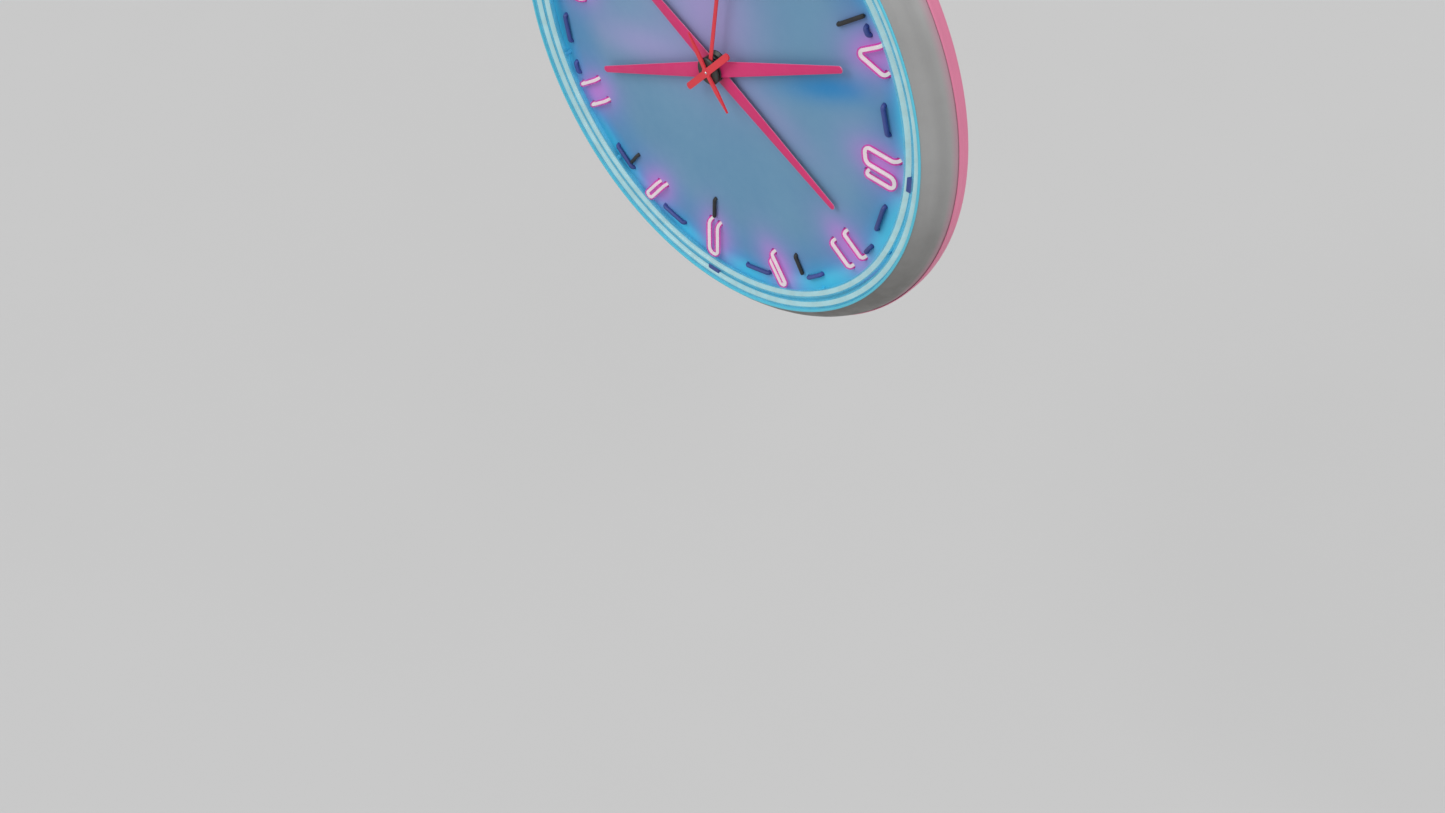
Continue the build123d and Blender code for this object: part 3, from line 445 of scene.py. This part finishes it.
# Painted glow round the hour tubes.
PAINTED_TUBE_GLOW_OUT = srgb(152, 138, 214)
PAINTED_TUBE_GLOW_IN = srgb(208, 130, 222)
# Painted light and shade on the dial: a lighter wash to the upper left, violet glow by the hub and lower
# left, and the painted shadow under the right arm. Polar angle, radius, lean, half length and half width in
# millimetres; strength; colour.
DIAL_PAINTED_LIGHT_AND_SHADE = [
    ((150, 150, 0, 130, 90), 0.7, DIAL_LEFT_PAINTED_LIGHT),
    ((106, 62, 0, 75, 66), 0.8, DIAL_PAINTED_VIOLET_GLOW),
    ((-166, 110, 0, 90, 26), 0.75, srgb(164, 158, 210)),
    ((-18, 85, 0, 70, 24), 0.3, DIAL_PAINTED_VIOLET_GLOW),
    ((18.5, 160, 6.3, 74, 17), 0.9, DIAL_ARM_PAINTED_SHADOW),
]


def bezel_paint():
    """Blue channel paint, its pale cyan partly a painted glow of the ring tubes, with a painted glow tone
    on the front lip.
    """
    s = painted("bezel_blue_paint", srgb(98, 196, 228), 0.4, 0.08, 0.08, 0.1)
    y = s.split()[1]
    base = s.bsdf.inputs["Base Color"].links[0].from_socket
    # Front lip tone: painted glow of the ring tubes.
    s.link(s.mix(s.spread(y, FRONT + 3 * MM, FRONT + 0.8 * MM), base, srgb(84, 190, 214)), "Base Color")
    return s.material


def hand_paint():
    """Magenta enamel, pale along the cut edges: partly bare edge, partly a painted highlight."""
    s = painted("hand_magenta_paint", srgb(212, 40, 110), 0.5, 0.06, 0.08, 0.0)
    base = s.bsdf.inputs["Base Color"].links[0].from_socket
    facing = s.split(s.place.node.outputs["Normal"])[1]
    # Pale tone on the side faces: a painted highlight along the edges, partly bare edge.
    edge = s.spread(s.math("ABSOLUTE", facing), 0.80, 0.35)
    s.link(s.mix(edge, base, srgb(214, 150, 176)), "Base Color")
    return s.material


def case_paint():
    """Grey side wall, darker towards the bottom with painted shade and a little mottled grime, and fading
    to mauve where it meets the pink rim with a painted pink glow of the rim.
    """
    s = painted("case_grey_paint", (0.300, 0.300, 0.298), 0.5, 0.06, 0.12, 0.0)
    x, y, z = s.split()
    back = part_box("trim_ring")[0].y
    base = s.bsdf.inputs["Base Color"].links[0].from_socket
    stripe = s.math("MULTIPLY", s.spread(y, FRONT + 8 * MM, FRONT + 15 * MM),
                    s.spread(y, FRONT + 24 * MM, FRONT + 16 * MM))
    base = s.mix(s.math("MULTIPLY", stripe, 0.30), base, (0.20, 0.20, 0.20))
    # Painted shade darkening the wall towards the bottom, plus a little random grime.
    shade_and_grime = s.math("ADD", s.spread(z, 0.08, -0.20, 0.0, 0.9),
                   s.spread(s.noise(30.0, 5.0), 0.4, 0.8, 0.0, 0.1))
    base = s.mix(shade_and_grime, base, (0.135, 0.130, 0.122))
    # Painted pink glow of the rim on the wall near the back.
    pink_glow_fade = s.spread(y, back - 9 * MM, back + 1 * MM, 0.0, 0.85)
    s.link(s.mix(pink_glow_fade, base, (0.42, 0.23, 0.29)), "Base Color")
    return s.material


def neon_gas(name, colour, strength):
    """Lit gas column: bright, a little uneven along the tube."""
    s = Shader(name)
    flow = s.spread(s.noise(55.0, 3.0), 0.3, 0.7)
    s.link(s.mix(flow, tint(colour, 0.90), colour), "Emission Color")
    s.link(s.mix(flow, (0.02, 0.02, 0.02), (0.05, 0.05, 0.05)), "Base Color")
    s.set(Emission_Strength=strength, Roughness=0.8, Specular_IOR_Level=0.0)
    return s.material


def neon_glass(name, colour, glow, alpha=0.5):
    """Tinted tube glass that glows faintly."""
    s = Shader(name)
    streak = s.spread(s.noise(90.0, 4.0), 0.35, 0.65)
    s.link(s.mix(streak, tint(colour, 0.9), tint(colour, 1.1)), "Base Color")
    s.link(s.mix(streak, tint(glow, 0.9), tint(glow, 1.1)), "Emission Color")
    s.link(s.spread(s.noise(200.0), 0.3, 0.7, 0.12, 0.22), "Roughness")
    s.set(Emission_Strength=1.0, IOR=1.47, Alpha=alpha)
    return s.material


MATERIALS = {
    "dial": dial_paint(),
    "case": case_paint(),
    "bezel": bezel_paint(),
    "pink": painted("rim_pink_paint", srgb(212, 120, 152), 0.5, 0.05, 0.10, 0.0).material,
    "pan": painted("pan_grey_paint", (0.33, 0.33, 0.34), 0.5, 0.08, 0.14).material,
    "hand": hand_paint(),
    "second": painted("second_red_paint", srgb(220, 48, 62), 0.45, 0.06, 0.08, 0.0).material,
    "boss": painted("boss_black_paint", (0.012, 0.020, 0.017), 0.4, 0.2, 0.2, 0.2).material,
    "transformer": painted("transformer_black_paint", (0.03, 0.03, 0.033), 0.5, 0.2, 0.25).material,
    "indigo": painted("blockout_indigo_paint", srgb(58, 74, 142), 0.5, 0.18, 0.25, 0.0).material,
    "zinc": metal("zinc_plate", (0.62, 0.62, 0.58), 0.38).material,
    "steel": metal("polished_steel", (0.58, 0.58, 0.60), 0.25).material,
    "brass": metal("brushed_brass", (0.78, 0.58, 0.25), 0.30).material,
    "copper": metal("spun_copper", (0.75, 0.42, 0.25), 0.30, (900.0, 40.0, 900.0)).material,
    "iron": metal("laminated_iron", (0.20, 0.20, 0.21), 0.55, (30.0, 3000.0, 30.0)).material,
    "black_rubber": moulded("black_rubber", (0.022, 0.022, 0.022), 0.62).material,
    "grey_rubber": moulded("grey_rubber", (0.10, 0.10, 0.11), 0.65).material,
    "black_plastic": moulded("black_plastic", (0.020, 0.021, 0.026), 0.45).material,
    "lead": moulded("lead_jacket", (0.66, 0.62, 0.52), 0.45).material,
    "mains": moulded("mains_jacket", (0.10, 0.05, 0.03), 0.45).material,
    "tape": moulded("coil_tape", (0.55, 0.30, 0.05), 0.4, 0.2, 1500.0, 0.3).material,
    "porcelain": moulded("glazed_porcelain", (0.80, 0.77, 0.70), 0.2, 0.04, 300.0, 0.05).material,
    "cyan_gas": neon_gas("cyan_gas", (0.78, 0.95, 0.82), 0.80),
    "cyan_glass": neon_glass("cyan_glass", (0.06, 0.27, 0.38), (0.05, 0.19, 0.27)),
    "pink_gas": neon_gas("pink_gas", (0.60, 1.0, 0.80), 1.22),
    "pink_glass": neon_glass("pink_glass", (0.40, 0.012, 0.21), (0.33, 0.006, 0.16)),
}

NODE_MATERIALS = {
    "bezel": ["bezel_ring"], "case": ["case_ring"], "pink": ["trim_ring"],
    "dial": ["dial_panel", "tube_posts"],
    "pan": ["back_pan"], "zinc": ["chassis_ring", "bezel_nuts", "case_screws"],
    "black_plastic": ["terminal_block", "cable_gland", "gland_nut", "setting_knob"],
    "indigo": ["half_hour_bars", "ring_clips"], "black_rubber": ["feed_sleeves"],
    "grey_rubber": ["electrode_boots"], "lead": ["ht_leads"], "mains": ["mains_leads"],
    "transformer": ["transformer_case"], "porcelain": ["transformer_bushings"],
    "brass": ["movement_front_plate", "movement_middle_plate", "movement_back_plate", "movement_pillars",
              "dial_bushing", "bushing_nut", "cannon_pinion", "centre_wheel", "third_wheel", "minute_wheel",
              "hour_wheel"],
    "copper": ["rotor_can"], "iron": ["field_core"], "tape": ["field_coil"],
    "steel": ["clutch_spring", "second_arbor", "rotor_pinion"],
    "boss": ["centre_boss", "hour_collet", "minute_collet", "second_collet"],
    "hand": ["hour_hand", "minute_hand"], "second": ["second_hand", "cross_cap"],
    "cyan_glass": ["outer_ring_tube", "inner_ring_tube"],
    "pink_glass": [f"hour_tube_{hour}" for hour in range(1, 13)],
}


def coat(obj, material):
    """One material over a whole piece."""
    obj.data.materials.clear()
    obj.data.materials.append(MATERIALS[material])


for material, names in NODE_MATERIALS.items():
    for name in names:
        coat(frame["nodes"][name], material)


def stand_for(piece, node, material):
    """A finer piece shown in place of one CAD node, on the same body."""
    coat(piece, material)
    body = next(b for b, names in frame["record"]["behaviour"]["bodies"].items() if node in names)
    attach(piece, body)
    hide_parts(node)
    return piece


def add_to(piece, body, material):
    """A small extra piece inside or on a CAD node."""
    coat(piece, material)
    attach(piece, body)
    return piece


# ================================================================ case

def build_case():
    """Side wall, rim and channel, turned finely."""
    f = FRONT
    outer = [(LIP, f + 1.4 * MM), (288.0 * MM, f + 5.2 * MM), (292.2 * MM, f + 9.5 * MM),
             (295.7 * MM, f + 13.6 * MM), (298.6 * MM, f + 18.0 * MM), (300.8 * MM, f + 22.3 * MM),
             (302.3 * MM, f + 26.5 * MM), (303.4 * MM, f + 31.0 * MM), (303.4 * MM, f + 40.0 * MM)]
    inner = [(288 * MM, f + 40 * MM), (288 * MM, f + 38.5 * MM), (301.9 * MM, f + 38.5 * MM),
             (301.9 * MM, f + 31 * MM), (300.8 * MM, f + 27 * MM), (297.2 * MM, f + 18.8 * MM),
             (291 * MM, f + 10.5 * MM), (LIP - 1.2 * MM, f + 1.4 * MM)]
    stand_for(lathe("case_wall", outer + inner), "case_ring", "case")
    trim = [(303.6, 30.2), (304.1, 29.8), (304.7, 30.6), (304.9, 32), (304.6, 36.0), (304.9, 40.0),
            (304.7, 42.3), (304.0, 43.0), (288, 43), (288, 41.5), (303.6, 41.5)]
    stand_for(lathe("rim_trim", [(r * MM, f + d * MM) for r, d in trim], 0.25 * MM), "trim_ring", "pink")
    bezel = [(279.9, 0.15), (280.6, 0), (281.9, 0), (282.5, 0.5), (282.5, 1.4), (281.1, 1.4), (281.1, 20),
             (279.9, 20), (279.9, 13.2), (270.7, 13.2), (270.7, 20), (269.5, 20), (269.5, 12), (279.9, 12)]
    channel = lathe("bezel_channel", [(r * MM, f + d * MM) for r, d in bezel], 0.25 * MM)
    stand_for(channel, "bezel_ring", "bezel")


# ================================================================ neon

def hour_path(hour):
    """Smooth path of an hour tube."""
    (corners, bend), angle, radius, lean, mirrored = HOUR_TUBES[hour]
    middle = Vector(polar(radius * MM, angle))
    outward = Vector(polar(MM, angle + lean))
    across = Vector(polar(-MM if mirrored else MM, angle + lean + 90))
    flat = [middle + outward * u + across * v for u, v in corners]
    run = [Vector((p.x, TUBE_PLANE, p.y)) for p in flat]
    if corners is PAIR[0]:
        run[2:2] = [Vector((p.x, PAIR_JUMPER, p.y)) for p in flat[1:3]]
    run = [Vector((run[0].x, ELECTRODE, run[0].z))] + run + [Vector((run[-1].x, ELECTRODE, run[-1].z))]
    return rounded(run, bend * MM, 9)


def trimmed(path, cut):
    """Path shortened by a length at both ends."""
    path = list(path)
    for _ in range(2):
        rest = cut
        while (path[1] - path[0]).length < rest:
            rest -= (path[1] - path[0]).length
            path.pop(0)
        path[0] = path[0] + (path[1] - path[0]).normalized() * rest
        path.reverse()
    return path


def build_hours():
    """Glass of each hour tube with its lit gas inside."""
    for hour in HOUR_TUBES:
        path = trimmed(hour_path(hour), HOUR_TUBE)
        glass = sweep(f"hour_glass_{hour}", path, HOUR_TUBE, 20)
        stand_for(glass, f"hour_tube_{hour}", "pink_glass")
        gas = sweep(f"hour_gas_{hour}", path, HOUR_TUBE * 0.52, 14)
        add_to(gas, "clock_frame", "pink_gas")


def ring_path(node):
    """Path of a ring tube from its CAD box: almost a full circle, both ends turned back."""
    low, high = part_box(node)
    radius = (high.x - low.x) / 2 - RING_TUBE
    y = low.y + RING_TUBE
    bend, leg = 8 * MM, 6.5 * MM
    gap = math.asin((bend + leg) / radius)
    steps = 360
    span = [PI / 2 + gap + (2 * PI - 2 * gap) * i / steps for i in range(steps + 1)]
    arc = [Vector((radius * math.cos(a), y, radius * math.sin(a))) for a in span]

    def turn_back(end, heading):
        centre = end + Vector((0, bend, 0))
        out = [centre + (heading * math.sin(a) - Vector((0, 1, 0)) * math.cos(a)) * bend
               for a in (PI / 2 * k / 8 for k in range(1, 9))]
        return out + [Vector((out[-1].x, ELECTRODE - RING_TUBE, out[-1].z))]

    first = turn_back(arc[0], (arc[0] - arc[1]).normalized())
    last = turn_back(arc[-1], (arc[-1] - arc[-2]).normalized())
    return first[::-1] + arc + last


def build_rings():
    """Both ring tubes: glass and gas."""
    for node in ("outer_ring_tube", "inner_ring_tube"):
        path = ring_path(node)
        stand_for(sweep(node + "_glass", path, RING_TUBE, 20), node, "cyan_glass")
        add_to(sweep(node + "_gas", path, RING_TUBE * 0.6, 14), "clock_frame", "cyan_gas")


def build_bars():
    """Blocked-out half-hour bars and the sleeved feeds."""
    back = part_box("half_hour_bars")[1].y - BAR_TUBE
    bars = []
    for angle, radius, half, lean in BARS:
        x, z = polar(radius * MM, angle)
        tx, tz = polar(half * MM, angle + lean + 90)
        path = [(x - tx, back, z - tz), (x - tx, BAR_PLANE, z - tz), (x + tx, BAR_PLANE, z + tz),
                (x + tx, back, z + tz)]
        bars.append(sweep("bar", rounded(path, 2.8 * MM, 7), BAR_TUBE, 18))
    stand_for(join("half_hour_bars_painted", bars), "half_hour_bars", "indigo")
    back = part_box("feed_sleeves")[1].y - SLEEVE
    feeds = []
    for angle, near, far in FEEDS:
        (xa, za), (xb, zb) = polar(near * MM, angle), polar(far * MM - SLEEVE, angle)
        path = rounded([(xa, back, za), (xa, SLEEVE_PLANE, za), (xb, SLEEVE_PLANE, zb)], 2.6 * MM, 7)
        feeds.append(sweep("feed", path, SLEEVE, 18))
    stand_for(join("feed_sleeves_rubber", feeds), "feed_sleeves", "black_rubber")


# ================================================================ hands

ARM, ROOT, TIP, EYE = 192 * MM, 9.25 * MM, 3.75 * MM, 12 * MM
SECOND_LENGTH, SECOND_EYE = 198 * MM, 7 * MM
MINUTE_ANGLE, HOUR_ANGLE, SECOND_ANGLE = math.radians(26.5), math.radians(153.5), math.radians(83)


def arm_shape(x):
    """Half width of a double-ended hand."""
    x = abs(x)
    end = ARM - TIP
    width = ROOT + (TIP - ROOT) * min(x / end, 1.0)
    if x > end:
        width = math.sqrt(max(TIP * TIP - (x - end) ** 2, 0))
    eye = math.sqrt(EYE * EYE - x * x) if x < EYE else 0
    return max(width, eye)


def second_shape(x):
    """Half width of the second hand."""
    eye = math.sqrt(SECOND_EYE ** 2 - x * x) if abs(x) < SECOND_EYE else 0
    return max(eye, (2.5 - 0.5 * x / SECOND_LENGTH) * MM if 0 < x else 0)


def build_hands():
    """Hour, minute and second hands."""
    for node, angle in (("hour_hand", HOUR_ANGLE), ("minute_hand", MINUTE_ANGLE)):
        low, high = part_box(node)
        piece = blade(node + "_blade", arm_shape, -ARM, ARM, low.y, high.y - low.y, angle, steps=120)
        stand_for(piece, node, "hand")
    low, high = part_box("second_hand")
    piece = blade("second_hand_blade", second_shape, -SECOND_EYE, SECOND_LENGTH, low.y, high.y - low.y,
                  SECOND_ANGLE, 0.2 * MM, 0.15 * MM, 96)
    stand_for(piece, "second_hand", "second")


build_case()
build_hours()
build_rings()
build_bars()
build_hands()


# ================================================================ stage

def build_stage():
    """Pale floor far below."""
    mesh = bpy.data.meshes.new("floor")
    side, z = 14.0, -1.6
    corners = [(-side, -side, z), (side, -side, z), (side, side, z), (-side, side, z)]
    mesh.from_pydata(corners, [], [(0, 1, 2, 3)])
    floor = bpy.data.objects.new("floor", mesh)
    bpy.context.scene.collection.objects.link(floor)
    s = Shader("floor_pale")
    s.link(s.mix(s.noise(3.0), (0.535, 0.535, 0.535), (0.545, 0.545, 0.545)), "Base Color")
    s.set(Roughness=1.0, Specular_IOR_Level=0.0)
    floor.data.materials.append(s.material)


def sun(name, strength, direction, angle, colour=(1, 1, 1)):
    """Soft sun from a direction."""
    data = bpy.data.lights.new(name, "SUN")
    data.energy = strength
    data.angle = math.radians(angle)
    data.color = colour
    obj = bpy.data.objects.new(name, data)
    obj.rotation_euler = Vector(direction).to_track_quat("Z", "Y").to_euler()
    bpy.context.scene.collection.objects.link(obj)


def build_light():
    """Studio: even sky and two soft suns."""
    world = bpy.data.worlds.new("studio")
    bpy.context.scene.world = world
    world.use_nodes = True
    back = world.node_tree.nodes["Background"]
    back.inputs["Color"].default_value = (1, 1, 1, 1)
    back.inputs["Strength"].default_value = 0.55
    sun("key", 1.1, (-0.5, -0.9, 0.9), 40)
    sun("fill", 1.35, (0.9, -0.15, 0.9), 50)
    bpy.context.scene.view_settings.view_transform = "Standard"


def build_camera():
    """35 mm lens, above and to the right, looking down at the dial."""
    data = bpy.data.cameras.new("camera")
    data.lens = 35.0
    data.sensor_width = 36.0
    data.clip_start = 0.01
    camera = bpy.data.objects.new("camera", data)
    bpy.context.scene.collection.objects.link(camera)
    camera.location = (3.0448 * LIP, -2.9801 * LIP + FRONT, 3.0531 * LIP)
    camera.rotation_euler = (math.radians(41.05), 0, math.radians(44.73))
    bpy.context.scene.camera = camera


build_stage()
build_light()
build_camera()
